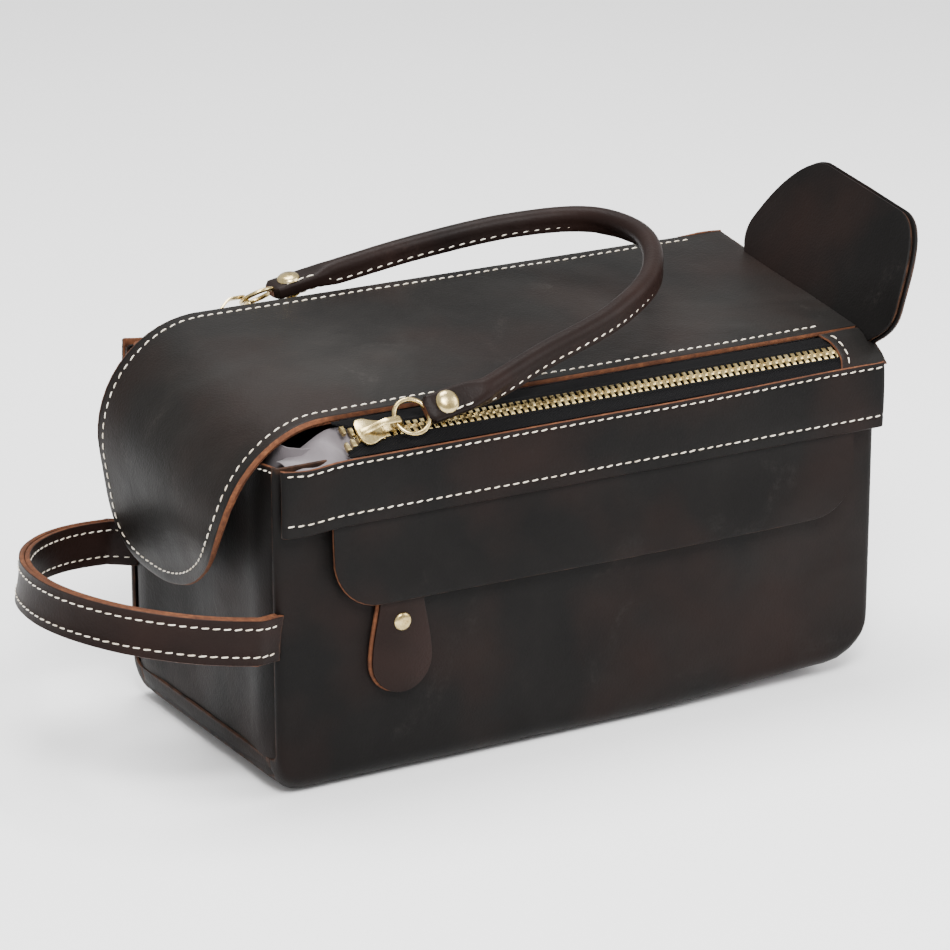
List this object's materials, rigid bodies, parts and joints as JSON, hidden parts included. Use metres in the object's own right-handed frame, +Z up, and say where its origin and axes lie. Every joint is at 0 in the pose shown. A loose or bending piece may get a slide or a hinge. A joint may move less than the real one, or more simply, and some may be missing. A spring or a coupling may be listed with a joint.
{
  "type": "hanging toiletry bag",
  "caption": "Soft leather wash bag with a lid that rolls over one end, twin top zips joined by a rolled strap, side hanging loop, end tab and zipped flap pocket.",
  "frame": {"origin": "centre of the underside of the base, on the surface the bag stands on", "axes": "+X along the bag's length towards the raised end tab, +Y towards the back, +Z up; the pocket side faces -Y and the hanging loop is at -X"},
  "size_m": [0.3818, 0.1466, 0.2035],
  "materials": {
    "leather": "waxed pull-up leather, dark brown, satin, with lighter scuffs",
    "strap_leather": "the same leather, redder and smoother",
    "raw_edge_leather": "raw tan cut edge and flesh side",
    "lining": "smooth grey-mauve lining cloth",
    "zip_tape": "black herringbone zip tape",
    "antique_brass": "pale antique brass, polished high spots"
  },
  "bodies": {
    "bag": {"base_panel": "leather", "front_panel": "leather", "back_panel": "leather", "left_gusset": "leather", "right_gusset": "leather", "front_band": "leather", "back_band": "leather", "lining_tub": "lining", "pocket_lining": "lining", "top_end_panel": "leather", "front_end_patch": "leather", "back_end_patch": "leather", "front_teeth_lower": "antique_brass", "front_tape_lower": "zip_tape", "back_teeth_lower": "antique_brass", "back_tape_lower": "zip_tape", "pocket_coil_upper": "zip_tape", "pocket_coil_lower": "zip_tape", "pocket_tape_upper": "zip_tape", "pocket_tape_lower": "zip_tape"},
    "lid": {"lid_outer": "leather", "tongue_backing": "leather", "lid_lining": "lining", "front_teeth_upper": "antique_brass", "front_tape_upper": "zip_tape", "back_teeth_upper": "antique_brass", "back_tape_upper": "zip_tape"},
    "front_slider": {"front_slider": "antique_brass"},
    "back_slider": {"back_slider": "antique_brass"},
    "front_ring": {"front_ring": "antique_brass"},
    "back_ring": {"back_ring": "antique_brass"},
    "strap": {"strap_cover": "strap_leather", "strap_core": "lining", "strap_end_front": "strap_leather", "strap_end_back": "strap_leather", "strap_rivet_front": "antique_brass", "strap_rivet_back": "antique_brass"},
    "end_tab": {"end_tab_outer": "leather", "end_tab_inner": "leather"},
    "handle": {"handle_outer": "leather", "handle_inner": "leather"},
    "flap": {"pocket_flap": "leather"},
    "pocket_slider": {"pocket_slider": "antique_brass"},
    "pull_tab": {"pocket_link": "antique_brass", "pull_tab_front": "strap_leather", "pull_tab_back": "raw_edge_leather", "pull_tab_rivet": "antique_brass"}
  },
  "joints": [
    {"name": "zip_open", "type": "slide", "parent": "lid", "child": "front_slider", "axis": [1, 0, 0], "range_m": [0, 0.186]},
    {"name": "back_zip_open", "type": "slide", "parent": "lid", "child": "back_slider", "axis": [1, 0, 0], "range_m": [0, 0.186]},
    {"name": "lid_open", "type": "hinge", "parent": "bag", "child": "lid", "pos_m": [0.12095, 0, 0.15662], "axis": [0, 0.9899, 0.142], "range_deg": [0, 45]},
    {"name": "front_ring_lift", "type": "hinge", "parent": "front_slider", "child": "front_ring", "pos_m": [-0.086, -0.06272, 0.14627], "axis": [0, -0.9925, -0.1221], "range_deg": [0, 75]},
    {"name": "back_ring_lift", "type": "hinge", "parent": "back_slider", "child": "back_ring", "pos_m": [-0.086, 0.06763, 0.16231], "axis": [0, -0.9925, -0.1221], "range_deg": [0, 75]},
    {"name": "strap_swing", "type": "hinge", "parent": "front_ring", "child": "strap", "pos_m": [-0.07225, -0.06304, 0.1489], "axis": [0, 0.9925, 0.1221], "range_deg": [-140, 7]},
    {"name": "end_tab_fold", "type": "hinge", "parent": "bag", "child": "end_tab", "pos_m": [0.1425, -0.015, 0.152], "axis": [0, 0.9899, 0.142], "range_deg": [-40, 148]},
    {"name": "handle_swing", "type": "hinge", "parent": "bag", "child": "handle", "pos_m": [-0.14, 0, 0.068], "axis": [0, 1, 0], "range_deg": [-32, 18]},
    {"name": "pocket_flap_lift", "type": "hinge", "parent": "bag", "child": "flap", "pos_m": [0, -0.07, 0.11035], "axis": [-1, 0, 0], "range_deg": [0, 110]},
    {"name": "pocket_zip_open", "type": "slide", "parent": "bag", "child": "pocket_slider", "axis": [1, 0, 0], "range_m": [0, 0.19]},
    {"name": "pull_tab_swing", "type": "hinge", "parent": "pocket_slider", "child": "pull_tab", "pos_m": [-0.087, -0.066, 0.097], "axis": [0, 1, 0], "range_deg": [-12, 12]}
  ],
  "couplings": [
    {"joint": "back_zip_open", "follows": "zip_open", "ratio": 1},
    {"joint": "lid_open", "follows": "zip_open", "rad_per_m": 4.2216},
    {"joint": "front_ring_lift", "follows": "zip_open", "rad_per_m": 7.0367},
    {"joint": "back_ring_lift", "follows": "zip_open", "rad_per_m": 7.0367}
  ]
}
